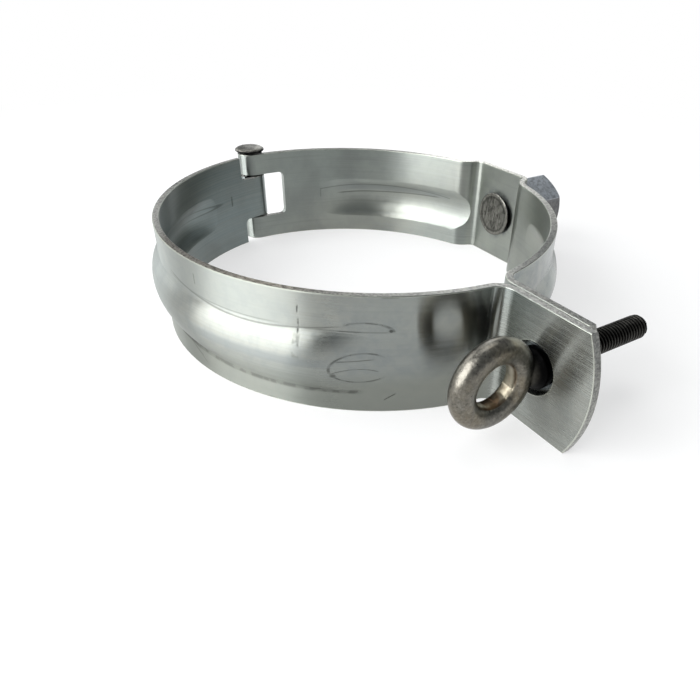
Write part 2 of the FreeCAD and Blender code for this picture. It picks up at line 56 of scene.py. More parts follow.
STRIP_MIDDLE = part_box("front_band")[1].z / 2
FRONT_RING = (0.0, 0.0)
WALL_RING = (0.9938 * MM, -10.0263 * MM)
FLANGE_START, FLANGE_FULL = 51.0 * MM, 52.5 * MM
FLANGE_END_RADIUS = 27.0 * MM
FRONT_END_CENTRE, WALL_END_CENTRE = 47.5 * MM, 45.6 * MM
FRONT_HOLE, COLLAR_BORE = 5.25 * MM, 2.56 * MM
FULL_TURN = 360.0
ALONG_Y, ALONG_Z = Vector((0, 1, 0)), Vector((0, 0, 1))


# Shader helpers

class Number:
    """A number socket; Python's arithmetic on it adds Math nodes."""

    def __init__(self, nodes, socket):
        self.nodes = nodes
        self.socket = socket

    def maths(self, operation, *values):
        node = self.nodes.node("ShaderNodeMath", {"operation": operation}, dict(enumerate(values)))
        return Number(self.nodes, node.outputs[0])

    def __add__(self, other):
        return self.maths("ADD", self, other)

    __radd__ = __add__

    def __sub__(self, other):
        return self.maths("SUBTRACT", self, other)

    def __rsub__(self, other):
        return self.maths("SUBTRACT", other, self)

    def __mul__(self, other):
        return self.maths("MULTIPLY", self, other)

    __rmul__ = __mul__

    def __truediv__(self, other):
        return self.maths("DIVIDE", self, other)

    def __rtruediv__(self, other):
        return self.maths("DIVIDE", other, self)

    def __abs__(self):
        return self.maths("ABSOLUTE", self)

    def root(self):
        return self.maths("SQRT", self)

    def bearing(self, across):
        """Angle in radians of the point (across, self)."""
        return self.maths("ARCTAN2", self, across)

    def greater(self, other):
        return self.maths("MAXIMUM", self, other)

    def ramp(self, low, high, start=0.0, end=1.0):
        """From start to end as the number goes from low to high, eased at both ends."""
        settings = {"interpolation_type": "SMOOTHSTEP"}
        values = {"Value": self, "From Min": low, "From Max": high, "To Min": start, "To Max": end}
        return Number(self.nodes, self.nodes.node("ShaderNodeMapRange", settings, values).outputs[0])

    def near(self, middle, half, soft):
        """One within half of the middle, fading to zero over soft."""
        return abs(self - middle).ramp(half, half + soft, 1.0, 0.0)


class Nodes:
    """A node tree that is being built."""

    def __init__(self, tree):
        self.tree = tree

    def node(self, kind, settings=None, values=None):
        """Any node: its type, its settings, then its sockets' values or links."""
        made = self.tree.nodes.new(kind)
        for key, value in (settings or {}).items():
            if key == "stops":
                made.color_ramp.interpolation = "EASE"
                for element, (position, colour) in zip(made.color_ramp.elements, value):
                    element.position = position
                    element.color = colour
            else:
                setattr(made, key, value)
        for key, value in (values or {}).items():
            if isinstance(value, Number):
                value = value.socket
            if isinstance(value, bpy.types.NodeSocket):
                self.tree.links.new(value, made.inputs[key])
            else:
                made.inputs[key].default_value = value
        return made


class Finish(Nodes):
    """A material being built from nodes."""

    def __init__(self, name, metallic=1.0, **fixed):
        self.material = bpy.data.materials.new(name)
        self.material.use_nodes = True
        super().__init__(self.material.node_tree)
        self.shader = self.tree.nodes["Principled BSDF"]
        self.shader.inputs["Metallic"].default_value = metallic
        for socket, value in fixed.items():
            self.shader.inputs[socket.replace("_", " ")].default_value = value
        place = self.node("ShaderNodeTexCoord")
        self.place = place.outputs["Object"]
        split = self.node("ShaderNodeSeparateXYZ", {}, {0: self.place})
        self.x, self.y, self.z = [Number(self, socket) for socket in split.outputs]
        split = self.node("ShaderNodeSeparateXYZ", {}, {0: place.outputs["Normal"]})
        self.nx, self.ny, self.nz = [Number(self, socket) for socket in split.outputs]

    def stretched(self, scale, turn=(0.0, 0.0, 0.0)):
        """The place with each axis multiplied, for patterns that are longer one way."""
        values = {"Vector": self.place, "Scale": scale, "Rotation": turn}
        return self.node("ShaderNodeMapping", {}, values).outputs[0]

    def noise(self, scale, detail=3.0, roughness=0.5, distortion=0.0, place=None):
        values = {"Vector": place or self.place, "Scale": scale, "Detail": detail,
                  "Roughness": roughness, "Distortion": distortion}
        return Number(self, self.node("ShaderNodeTexNoise", {}, values).outputs[0])

    def crystals(self, scale):
        """Distance from the middle of the nearest of many small cells."""
        cells = self.node("ShaderNodeTexVoronoi", {}, {"Vector": self.place, "Scale": scale})
        return Number(self, cells.outputs["Distance"])

    def mix(self, share, first, second):
        """Colour that goes from the first to the second as the share goes from 0 to 1."""
        values = {0: share}
        for socket, colour in ((6, first), (7, second)):
            values[socket] = colour if isinstance(colour, bpy.types.NodeSocket) else (*colour, 1.0)
        return self.node("ShaderNodeMix", {"data_type": "RGBA"}, values).outputs[2]

    def bump(self, height, distance, strength=1.0, under=None):
        """Normal from a height of 0 to 1 that stands for a distance in metres."""
        values = {"Height": height, "Distance": distance, "Strength": strength}
        if under is not None:
            values["Normal"] = under
        return self.node("ShaderNodeBump", {}, values).outputs[0]

    def apply(self, colour, roughness=None, normal=None):
        """Link what varies to the shader."""
        varying = {"Base Color": colour, "Roughness": roughness, "Normal": normal}
        for name, value in varying.items():
            if value is not None:
                socket = value.socket if isinstance(value, Number) else value
                self.tree.links.new(socket, self.shader.inputs[name])
        return self.material


class StripFinish(Finish):
    """The finish of a half band, with places measured on it: angle in degrees, height in millimetres."""

    def __init__(self, name, ring, first_angle):
        super().__init__(name, Anisotropic=0.95, Anisotropic_Rotation=0.25)
        out_x, out_y = self.x - ring[0], self.y - ring[1]
        self.angle = out_y.bearing(out_x) * (180 / pi) + first_angle
        self.height = self.z / MM
        self.outside = (out_x * self.nx + out_y * self.ny).ramp(-0.01, 0.01)
        self.inside = 1 - self.outside
        self.on_flange = self.x.ramp(FLANGE_START, FLANGE_FULL)
        self.on_band = 1 - self.on_flange
        self.mottle = self.noise(420.0, 3.0, 0.6)
        self.broken = self.noise(1.0, 2.0, 0.6, place=self.stretched((420.0, 420.0, 520.0))).ramp(0.40, 0.56)

    def upright(self, at, width, soft, middle, reach, fade):
        """A stroke up the strip at an angle, as long as its reach above and below its middle height."""
        return self.angle.near(at, width, soft) * self.height.near(middle, reach, fade)

    def line(self, over, width, soft, middle, reach, fade):
        """A stroke along the strip where the height over it is zero, reaching to both sides of its middle."""
        return over.near(0.0, width, soft) * self.angle.near(middle, reach, fade)

    def over_bend(self, level, middle, bend):
        """How far the height lies above a gently bent line, whose level is reached at its middle."""
        away = self.angle - middle
        return self.height - level - away * away * bend

    def over_slope(self, level, start, slope):
        """How far the height lies above a straight line that is at its level at its start."""
        return self.height - level - (self.angle - start) * slope

    def oval(self, centre, half):
        """Distance on the strip from a centre as a share of an oval's half widths."""
        return oval(self.angle, self.height, centre, half)


def tinted(colour, red, green=None, blue=None):
    """A colour with its channels scaled, all three alike if one number is given."""
    shares = (red, red if green is None else green, red if blue is None else blue)
    return tuple(min(1.0, part * share) for part, share in zip(colour, shares))


# Modelling helpers

def deselect_all():
    if bpy.context.object and bpy.context.object.mode != "OBJECT":
        bpy.ops.object.mode_set(mode="OBJECT")
    bpy.ops.object.select_all(action="DESELECT")


def choose(piece):
    """Make a piece the active and only selected one."""
    deselect_all()
    piece.select_set(True)
    bpy.context.view_layer.objects.active = piece


def added(name):
    """The primitive that was just added, named."""
    piece = bpy.context.object
    piece.name = name
    piece.data.name = name
    return piece


def settle(piece):
    """Move the object's place, turn and scale into its mesh."""
    choose(piece)
    bpy.ops.object.transform_apply(location=True, rotation=True, scale=True)


def modify(piece, kind, **settings):
    """Add a modifier and apply it."""
    choose(piece)
    modifier = piece.modifiers.new(kind, kind)
    for key, value in settings.items():
        setattr(modifier, key, value)
    bpy.ops.object.modifier_apply(modifier=modifier.name)


def combine(piece, tool, operation):
    """Unite with, cut by or keep the common part with another piece, which is then removed."""
    modify(piece, "BOOLEAN", operation=operation, object=tool, solver="EXACT")
    bpy.data.objects.remove(tool, do_unlink=True)


def edit(piece, kind="VERT"):
    """Enter edit mode with nothing selected."""
    choose(piece)
    bpy.ops.object.mode_set(mode="EDIT")
    bpy.ops.mesh.select_mode(type=kind)
    bpy.ops.mesh.select_all(action="DESELECT")


def pick(piece, kind, test):
    """Select the vertices, edges or faces whose middle passes the test."""
    mesh = bmesh.from_edit_mesh(piece.data)
    for item in getattr(mesh, kind):
        corners = [item] if kind == "verts" else item.verts
        middle = sum((corner.co for corner in corners), Vector()) / len(corners)
        item.select_set(bool(test(middle)))
    mesh.select_flush_mode()
    bmesh.update_edit_mesh(piece.data)


def done():
    bpy.ops.object.mode_set(mode="OBJECT")


def weld(piece):
    """Merge the vertices that a cut left a few thousandths of a millimetre apart."""
    edit(piece)
    bpy.ops.mesh.select_all(action="SELECT")
    bpy.ops.mesh.remove_doubles(threshold=0.003 * MM)
    bpy.ops.mesh.select_all(action="SELECT")
    bpy.ops.mesh.dissolve_degenerate(threshold=0.003 * MM)
    done()


def draw_profile(name, points):
    """A chain of edges, each vertex extruded from the one before."""
    deselect_all()
    bpy.ops.mesh.primitive_plane_add(size=MM, location=(0, 0, 0))
    piece = added(name)
    bpy.ops.object.mode_set(mode="EDIT")
    bpy.ops.mesh.select_mode(type="VERT")
    bpy.ops.mesh.select_all(action="SELECT")
    bpy.ops.mesh.merge(type="CENTER")
    bpy.ops.transform.translate(value=points[0])
    for before, after in zip(points, points[1:]):
        step = Vector(after) - Vector(before)
        bpy.ops.mesh.extrude_vertices_move(TRANSFORM_OT_translate={"value": step})
    return piece


def turn_profile(name, outline, axis, steps):
    """A closed turned shape: pairs of radius and place along the axis, spun all the way round it."""
    points = [Vector((radius, 0, 0)) + along * axis for radius, along in outline]
    piece = draw_profile(name, points)
    bpy.ops.mesh.select_all(action="SELECT")
    bpy.ops.mesh.spin(steps=steps, angle=2 * pi, center=(0, 0, 0), axis=axis)
    bpy.ops.mesh.select_all(action="SELECT")
    bpy.ops.mesh.remove_doubles(threshold=1e-6)
    bpy.ops.mesh.dissolve_degenerate(threshold=1e-7)
    bpy.ops.mesh.select_all(action="SELECT")
    bpy.ops.mesh.normals_make_consistent(inside=False)
    done()
    return piece


def make_thread(name, place, start, end, major, minor, pitch, steps):
    """A round bar with a helical thread along +Y from start to end, its end faces flat."""
    low, high = minor / 2, major / 2
    flank, crest_start, crest_end = 0.22 * pitch, 0.46 * pitch, 0.60 * pitch
    points = [(low, 0, 0), (low, flank, 0), (high, crest_start, 0), (high, crest_end, 0), (low, pitch, 0)]
    piece = draw_profile(name, points)
    done()
    turns = int((end - start) / pitch) + 3
    modify(piece, "SCREW", axis="Y", angle=2 * pi, screw_offset=pitch, iterations=turns, steps=steps,
           render_steps=steps, use_merge_vertices=True, merge_threshold=1e-6)
    piece.location = (place[0], start - pitch, place[2])
    settle(piece)
    edit(piece)
    for limit, outward in ((start, -1), (end, 1)):
        bpy.ops.mesh.select_all(action="SELECT")
        bpy.ops.mesh.bisect(plane_co=(0, limit, 0), plane_no=(0, outward, 0), use_fill=True, clear_outer=True,
                            threshold=1e-7)
    bpy.ops.mesh.select_all(action="SELECT")
    bpy.ops.mesh.remove_doubles(threshold=1e-6)
    bpy.ops.mesh.select_all(action="SELECT")
    bpy.ops.mesh.normals_make_consistent(inside=False)
    done()
    return piece


def shade(piece, angle):
    """Smooth shading with edges kept above an angle in degrees."""
    choose(piece)
    bpy.ops.object.shade_smooth_by_angle(angle=radians(angle))


def dress(piece, material):
    """Give a piece one material."""
    piece.data.materials.clear()
    piece.data.materials.append(material)


def repaint(node, material):
    """Give a CAD node a better material in its own slots."""
    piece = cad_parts[node]
    for place in piece.material_slots:
        place.material = material


# Sizes and colours that a user would change

class EyeBoltSizes(bpy.types.PropertyGroup):
    along: FloatProperty(name="Bolt place", description="Bolt axis from the ring centre",
                         default=60.9 * MM, unit="LENGTH")
    eye_centre: FloatProperty(name="Eye centre", description="Middle of the eye in front of the flanges",
                              default=-14.6 * MM, unit="LENGTH")
    ring_radius: FloatProperty(name="Eye radius", description="Middle of the eye's stock",
                               default=6.55 * MM, unit="LENGTH")
    stock: FloatProperty(name="Stock", description="Thickness of the eye's stock",
                         default=4.9 * MM, unit="LENGTH")
    bore: FloatProperty(name="Bore radius", description="Trimmed flats inside the eye",
                        default=4.4 * MM, unit="LENGTH")
    # The collar's black is partly painted shade for the flange's hole.
    collar: FloatProperty(name="Collar", description="Blackened collar behind the eye",
                          default=8.2 * MM, unit="LENGTH")
    diameter: FloatProperty(name="Thread", description="Outer diameter of the thread",
                            default=5.0 * MM, unit="LENGTH")
    pitch: FloatProperty(name="Pitch", description="Pitch of the thread", default=0.8 * MM, unit="LENGTH")
    end: FloatProperty(name="Free end", description="Where the thread ends",
                       default=24.2 * MM, unit="LENGTH")


class BossSizes(bpy.types.PropertyGroup):
    along: FloatProperty(name="Boss place", description="Boss axis from the ring centre",
                         default=-2.7 * MM, unit="LENGTH")
    flats: FloatProperty(name="Across flats", description="Width of the hexagon",
                         default=15.0 * MM, unit="LENGTH")
    base: FloatProperty(name="Base", description="Outer face of the boss plate",
                        default=43.9 * MM, unit="LENGTH")
    length: FloatProperty(name="Length", description="Length of the hexagon",
                          default=16.3 * MM, unit="LENGTH")
    thread: FloatProperty(name="Thread", description="Outer diameter of the thread",
                          default=8.0 * MM, unit="LENGTH")
    pitch: FloatProperty(name="Pitch", description="Pitch of the thread", default=1.25 * MM, unit="LENGTH")
    depth: FloatProperty(name="Depth", description="Usable depth of the thread",
                         default=13.0 * MM, unit="LENGTH")
    clench: FloatProperty(name="Clench", description="Diameter of the spread spigot",
                          default=12.0 * MM, unit="LENGTH")


class PinSizes(bpy.types.PropertyGroup):
    place: FloatVectorProperty(name="Pin place", description="Pin axis from the ring centre",
                               default=(-52.5033 * MM, -10.5865 * MM), size=2, subtype="XYZ", unit="LENGTH")
    radius: FloatProperty(name="Shank radius", description="Hinge pin", default=2.0 * MM, unit="LENGTH")
    head: FloatProperty(name="Head radius", description="Hammered head", default=4.2 * MM, unit="LENGTH")
    under: FloatProperty(name="Under the head", description="Height of the head's underside",
                         default=25.45 * MM, unit="LENGTH")


class BracketFinishes(bpy.types.PropertyGroup):
    zinc: FloatVectorProperty(name="Zinc", description="Galvanised strip", default=(0.270, 0.290, 0.275),
                              size=3, subtype="COLOR", min=0.0, max=1.0)
    zinc_roughness: FloatProperty(name="Zinc roughness", description="Satin of the strip", default=0.48,
                                  min=0.0, max=1.0, subtype="FACTOR")
    boss: FloatVectorProperty(name="Boss zinc", description="Mottled zinc of the boss",
                              default=(0.48, 0.505, 0.535), size=3, subtype="COLOR", min=0.0, max=1.0)
    forged: FloatVectorProperty(name="Forged steel", description="Satin of the eye",
                                default=(0.160, 0.152, 0.132), size=3, subtype="COLOR", min=0.0, max=1.0)
    dark: FloatVectorProperty(name="Dark steel", description="Hammered pin and clench",
                              default=(0.15, 0.148, 0.132), size=3, subtype="COLOR", min=0.0, max=1.0)


class StageSettings(bpy.types.PropertyGroup):
    floor: FloatVectorProperty(name="Floor", description="Colour of the floor", default=(0.93, 0.93, 0.93),
                               size=3, subtype="COLOR", min=0.0, max=1.0)
    light: FloatProperty(name="Light", description="Strength of the soft lights", default=1.0, min=0.0)
    lens: FloatProperty(name="Lens", description="Focal length", default=31.25, unit="CAMERA")


# Materials

def oval(across, up, centre, half):
    """Distance from a centre as a share of an oval's half widths."""
    wide = (across - centre[0]) / half[0]
    high = (up - centre[1]) / half[1]
    return (wide * wide + high * high).root()


def front_marks(make):
    """Scratches and die marks on the outside of the front half."""
    broken = make.broken
    dashes = make.upright(at=312.1, width=0.10, soft=0.22, middle=20.4, reach=3.4, fade=0.5) * broken
    short = make.upright(at=284.9, width=0.06, soft=0.18, middle=21.3, reach=0.9, fade=0.4)
    dashes = dashes.greater(short * 0.7)
    faint = make.upright(at=311.9, width=0.5, soft=0.5, middle=14.4, reach=1.6, fade=0.9) * broken

    upper_foot = make.line(make.over_bend(level=17.05, middle=299.0, bend=0.0036),
                           width=0.04, soft=0.22, middle=297.0, reach=21.0, fade=4.0)
    second_foot = make.line(make.over_bend(level=17.75, middle=296.0, bend=0.0020),
                            width=0.03, soft=0.20, middle=290.0, reach=14.0, fade=5.0)
    lower_foot = make.line(make.over_bend(level=4.35, middle=308.0, bend=0.0012),
                           width=0.16, soft=0.55, middle=299.0, reach=24.0, fade=3.0)
    feet = (upper_foot * 0.40).greater(second_foot * 0.22)
    feet = feet.greater(lower_foot * broken.ramp(0.0, 1.0, 0.30, 0.60))

    lens = make.oval(centre=(325.8, 17.85), half=(5.5, 1.85)).near(1.0, 0.04, 0.09)
    lens = lens * make.height.ramp(17.8, 18.0) * make.angle.ramp(320.5, 323.0)
    lens_line = make.height.near(17.82, 0.06, 0.14) * make.angle.near(323.5, 5.6, 3.0)
    lens_end = make.oval(centre=(330.9, 18.1), half=(0.5, 0.35)).ramp(0.5, 1.3, 1.0, 0.0)
    ring = make.oval(centre=(325.0, 10.4), half=(6.5, 3.2)).near(1.0, 0.02, 0.05)
    ring = ring * make.angle.ramp(327.5, 330.5, 1.0, 0.0)
    upper_bow = make.line(make.over_bend(level=12.1, middle=323.5, bend=0.004),
                          width=0.03, soft=0.14, middle=323.7, reach=3.4, fade=1.0)
    lower_bow = make.line(make.over_bend(level=10.3, middle=323.6, bend=-0.035),
                          width=0.03, soft=0.14, middle=323.6, reach=4.2, fade=1.0)
    blot = make.oval(centre=(319.3, 9.0), half=(0.7, 0.5)).ramp(0.4, 1.3, 1.0, 0.0)

    tick = make.line(make.over_slope(level=3.0, start=330.0, slope=0.57),
                     width=0.06, soft=0.18, middle=331.0, reach=1.0, fade=0.4)
    cuts = make.line(make.over_slope(level=4.4, start=280.2, slope=-0.53),
                     width=0.05, soft=0.16, middle=282.4, reach=2.0, fade=0.5)
    cuts = cuts.greater(make.line(make.over_slope(level=5.6, start=277.5, slope=-0.42),
                                  width=0.04, soft=0.16, middle=280.5, reach=2.6, fade=0.5))

    drawn = (ring * 0.55).greater(upper_bow * 0.5).greater(lower_bow * 0.5)
    drawn = drawn.greater(lens * 0.5).greater(lens_line * 0.55) * broken.ramp(0.0, 1.0, 0.5, 1.0)
    drawn = drawn.greater(dashes * 0.65).greater(faint * 0.35).greater(lens_end * 0.75).greater(blot * 0.6)
    return drawn.greater(feet).greater(tick * 0.6).greater(cuts * 0.45)


def inner_front_marks(make):
    """Die marks on the inside of the front half near the hinge."""
    outline = make.oval(centre=(232.0, 14.2), half=(22.0, 1.0)).near(1.0, 0.04, 0.12)
    outline = outline * make.angle.ramp(214.0, 236.0, 1.0, 0.0)
    tick = make.upright(at=203.6, width=0.12, soft=0.3, middle=13.6, reach=1.4, fade=0.6) * make.broken
    return (outline * 0.4).greater(tick * 0.5)


def inner_wall_marks(make):
    """Die marks round the hollow inside the wall half."""
    outline = make.line(make.over_bend(level=14.35, middle=136.0, bend=-0.0022),
                        width=0.04, soft=0.18, middle=135.0, reach=23.0, fade=0.4)
    second = make.line(make.over_slope(level=12.6, start=118.0, slope=-0.03),
                       width=0.05, soft=0.25, middle=134.0, reach=16.0, fade=3.0)
    stop = make.upright(at=158.3, width=0.06, soft=0.2, middle=12.1, reach=1.3, fade=0.15)
    return (outline * 0.38).greater(second * 0.5).greater(stop * 0.25)


def front_strip(colours, roughness, bolt):
    """Finish of the front half: marked by the die, with painted dark reflection in a band below its bead's
    crest, a darker patch towards the flange, and warmer low on its outside.
    """
    make = StripFinish("front_strip_zinc", FRONT_RING, FULL_TURN)
    outside = make.outside
    marks = (front_marks(make) * outside + inner_front_marks(make) * make.inside) * make.on_band
    # Painted dark reflection: a darker band along the bead, just below its crest.
    painted_shade_and_darkening = make.height.near(11.6, 0.4, 1.1) * make.angle.near(303.0, 13.0, 8.0) * outside
    # A darker patch further round, towards the flange.
    darker_patch = make.angle.near(331.0, 7.0, 10.0) * make.height.ramp(15.0, 19.0, 1.0, 0.5) * outside
    painted_shade_and_darkening = painted_shade_and_darkening.greater(darker_patch * (0.7 + (1 - make.broken) * 0.3))
    warmer = make.height.ramp(5.0, 11.0, 0.65, 0.0) * outside * make.on_band
    paler = make.x.ramp(30.0 * MM, 46.0 * MM).greater(make.angle.ramp(258.0, 274.0, 1.0, 0.0))
    hole = (bolt, FRONT_HOLE)
    return strip_finish(make, colours, roughness, hole, FRONT_END_CENTRE, marks, painted_shade_and_darkening, paler, warmer)


def wall_strip(colours, roughness, bolt, boss):
    """Finish of the wall half: darker round the spread spigot, with painted shade round the bolt and in a
    band over its inner hollow.
    """
    make = StripFinish("wall_strip_zinc", WALL_RING, 0.0)
    marks = inner_wall_marks(make) * make.inside * make.on_band
    from_spigot = oval(make.x, make.z, (boss, STRIP_MIDDLE + 0.1 * MM), (MM, MM))
    on_plate = make.y.ramp(40.0 * MM, 41.5 * MM)
    # Darker ring round the spread spigot, on the inside of the plate.
    painted_shade_and_darkening = from_spigot.ramp(5.9, 7.6, 1.2, 0.0) * make.mottle.ramp(0.35, 0.6) * on_plate * make.inside
    # Painted shade round the bolt, on the flange behind the front half's hole.
    from_bolt = oval(make.x, make.z, (bolt, STRIP_MIDDLE), (MM, MM))
    painted_shade_and_darkening = painted_shade_and_darkening.greater(from_bolt.ramp(4.2, 5.4, 2.0, 0.0))
    # Painted shade: a band along the hollow's top flank, below its die line.
    shaded = make.height.near(13.4, 0.5, 0.8) * make.angle.near(132.0, 15.0, 8.0) * make.inside
    painted_shade_and_darkening = painted_shade_and_darkening.greater(shaded * 0.8)
    hole = (bolt, COLLAR_BORE)
    return strip_finish(make, colours, roughness, hole, WALL_END_CENTRE, marks, painted_shade_and_darkening, paler=1.0)


def strip_finish(make, colours, roughness, hole, end_centre, marks, painted_shade_and_darkening, paler, warmer=None):
    """Galvanised strip: brushed along its length, torn at its sheared edges, with a painted highlight along
    its arrises.
    """
    x, y, z = make.x, make.y, make.z
    height, mottle = make.height, make.mottle
    outside, inside = make.outside, make.inside
    on_flange, on_band = make.on_flange, make.on_band
    lines = make.noise(1.0, 4.0, 0.6, place=make.stretched((22.0, 22.0, 5200.0)))
    drawn = make.noise(1.0, 3.0, 0.55, place=make.stretched((30.0, 30.0, 1300.0)))
    clouds = make.noise(60.0, 3.0, 0.55, 0.4)
    hue = make.noise(24.0, 2.0, 0.5)
    grain = make.noise(2300.0, 3.0, 0.7)
    chips = make.noise(1.0, 3.0, 0.65, place=make.stretched((260.0, 260.0, 700.0)))
    streak = lines.ramp(0.32, 0.68)

    # Sheared edges, with a painted highlight along their arrises and round the hole, and their nicks
    rim = abs(height - STRIP_MIDDLE / MM)
    torn = abs(make.nz).ramp(0.86, 0.94)
    from_end = oval(x, z, (end_centre, STRIP_MIDDLE), (FLANGE_END_RADIUS, FLANGE_END_RADIUS))
    end_face = from_end.ramp(0.9988, 0.9996) * x.ramp(60.0 * MM, 61.0 * MM)
    arris = rim.ramp(12.24, 12.32) * (1 - torn) * (1 - on_flange * 0.5)
    arris = arris.greater(from_end.ramp(0.988, 0.991) * on_flange * 0.9) * (1 - end_face)
    nicks = rim.ramp(11.9, 12.4) * chips.ramp(0.60, 0.68) * (1 - torn)
    torn = torn.greater(end_face)
    from_hole = oval(x, z, (hole[0], STRIP_MIDDLE), (hole[1], hole[1]))
    hole_wall_shade = from_hole.ramp(1.002, 1.006, 1.0, 0.0) * on_flange
    hole_arris = from_hole.near(1.02, 0.012, 0.01) * on_flange

    # Zinc on the faces, with painted shade and painted highlights on some of them, then darkening and marks
    zinc = make.mix(hue.ramp(0.36, 0.64), colours["cool"], colours["warm"])
    # Painted shade and light: the inside of the front half is painted darker and bluer, the inside of the
    # wall half paler, most of all on its plate.
    zinc = make.mix(inside * y.ramp(39.5 * MM, 41.0 * MM, 0.40, 1.0), zinc, colours["inside"])
    zinc = make.mix(clouds.ramp(0.34, 0.68) * 0.55, zinc, colours["dull"])
    zinc = make.mix(streak * (0.42 - on_flange * 0.2), zinc, colours["line"])
    zinc = make.mix(drawn.ramp(0.52, 0.74) * 0.30, zinc, colours["dull"])
    mottled = outside * on_band * colours["mottling"] + 0.10
    zinc = make.mix(mottle.ramp(0.42, 0.66) * mottled, zinc, colours["spot_and_shade"])
    # Painted highlight: the top part of the outside, above the bead, is painted paler in the line colour,
    # fading out towards the flange.
    upper_highlight = height.ramp(16.5, 18.0) * outside * x.ramp(30.0 * MM, 40.0 * MM, 1.0, 0.0)
    zinc = make.mix(upper_highlight * 0.45, zinc, colours["line"])
    # Painted shade and darkening, in the darker zinc of the spot colour.
    zinc = make.mix(painted_shade_and_darkening * 0.45, zinc, colours["spot_and_shade"])
    if warmer is not None:
        zinc = make.mix(warmer, zinc, colours["under"])
    zinc = make.mix(marks, zinc, colours["mark"])

    # Bare metal of the edges, with a painted highlight along the arrises and painted shade in the hole
    zinc = make.mix(nicks * 0.6, zinc, colours["edge_dark"])
    # Painted highlight: a pale line along the arrises, the flange's curved end and the rim of the bolt's
    # hole.
    zinc = make.mix(arris.greater(hole_arris) * 0.85, zinc, colours["arris"])
    edge_dark = make.mix(paler, colours["edge_dark"], colours["pale_edge_dark"])
    edge_light = make.mix(paler, colours["edge_light"], colours["pale_edge_light"])
    zinc = make.mix(torn, zinc, make.mix(grain.ramp(0.36, 0.62), edge_dark, edge_light))
    # Painted shade: the wall of the bolt's hole is painted near black.
    zinc = make.mix(hole_wall_shade, zinc, (0.03, 0.03, 0.03))

    # Satin, smoother towards the flange, on the flange and inside
    smooth = x.ramp(30.0 * MM, 44.0 * MM) * outside * on_band
    satin = roughness - smooth * 0.28 - on_flange * 0.21 - inside * on_band * 0.14
    satin = satin + upper_highlight * 0.13 - outside * (1 - smooth) * on_band * 0.06
    satin = satin + (streak - 0.5) * 0.06 + (clouds.ramp(0.3, 0.7) - 0.5) * 0.05
    satin = satin + marks * 0.12 + torn * 0.20 + arris * 0.05

    normal = make.bump(lines * (1 - on_flange * 0.6), 0.006 * MM, 0.7)
    normal = make.bump(drawn, 0.02 * MM, 0.5, normal)
    normal = make.bump(clouds, 0.10 * MM, 0.5, normal)
    normal = make.bump(1 - marks, 0.05 * MM, 0.6, normal)
    normal = make.bump(grain * torn, 0.12 * MM, 1.0, normal)
    return make.apply(zinc, satin, normal)


def boss_finish(colour):
    """Mottled hot zinc with small crystals, and painted shade in dark brown on the facet that faces sideways
    and down.
    """
    make = Finish("boss_zinc")
    crystals = make.crystals(1100.0)
    blotches = make.noise(900.0, 3.0, 0.62)
    tone = make.noise(260.0, 3.0, 0.6)
    fine = make.noise(2300.0, 3.0, 0.65)
    pale = tinted(colour, 1.25)
    brown = make.mix(blotches.ramp(0.42, 0.62), (0.055, 0.050, 0.048), (0.15, 0.145, 0.14))
    # Painted shade: the facet that faces sideways and down is painted dark brown.
    painted_shade_and_darkening = make.nx.ramp(0.45, 0.6) * make.nz.ramp(0.05, 0.25, 1.0, 0.0)
    zinc = make.mix(tone.ramp(0.35, 0.65), colour, pale)
    zinc = make.mix(blotches.ramp(0.44, 0.62) * 0.7, zinc, tinted(colour, 0.48))
    zinc = make.mix(crystals.ramp(0.25, 0.65) * 0.25, zinc, pale)
    zinc = make.mix(painted_shade_and_darkening * 0.85, zinc, brown)
    satin = 0.46 + (fine - 0.5) * 0.25 + (blotches - 0.5) * 0.15
    normal = make.bump(fine, 0.04 * MM, 0.7)
    normal = make.bump(blotches, 0.09 * MM, 0.6, normal)
    return make.apply(zinc, satin, normal)


def hammered_finish(name, colour, depth, spread_at=None):
    """Dark steel, hammered and scratched on its face, with painted shade in black round its side.

    A spigot spread at a place along X faces into the band and shows a dark ring and a pale ring, the pale one
    a painted highlight. Any other piece faces up.
    """
    make = Finish(name)
    blows = make.noise(420.0, 4.0, 0.6, 0.6)
    fine = make.noise(1900.0, 4.0, 0.7)
    scratch = make.noise(1.0, 3.0, 0.6, place=make.stretched((2600.0, 2600.0, 380.0), turn=(0.3, 0.5, 0.0)))
    pale = tinted(colour, 2.3)
    steel = make.mix(blows.ramp(0.40, 0.58), tinted(colour, 0.45), colour)
    steel = make.mix(scratch.ramp(0.50, 0.66) * 0.55, steel, pale)
    steel = make.mix(fine.ramp(0.55, 0.75) * 0.4, steel, pale)
    facing = make.nz
    if spread_at is not None:
        facing = -1 * make.ny
        from_middle = oval(make.x, make.z, (spread_at, STRIP_MIDDLE), (MM, MM)) + blows * 0.5 - 0.25
        steel = make.mix(from_middle.near(4.75, 0.10, 0.40) * 0.5, steel, (0.02, 0.02, 0.018))
        # Painted highlight: a pale ring near the spigot's rim.
        steel = make.mix(from_middle.near(5.35, 0.12, 0.25) * 0.3, steel, pale)
    # Painted shade: every face that does not face out is painted near black.
    steel = make.mix(facing.ramp(0.35, 0.8), (0.006, 0.006, 0.006), steel)
    satin = 0.42 + (fine - 0.5) * 0.35
    normal = make.bump(blows, depth, 0.8)
    normal = make.bump(fine, 0.04 * MM, 0.8, normal)
    normal = make.bump(scratch, 0.03 * MM, 0.6, normal)
    return make.apply(steel, satin, normal)


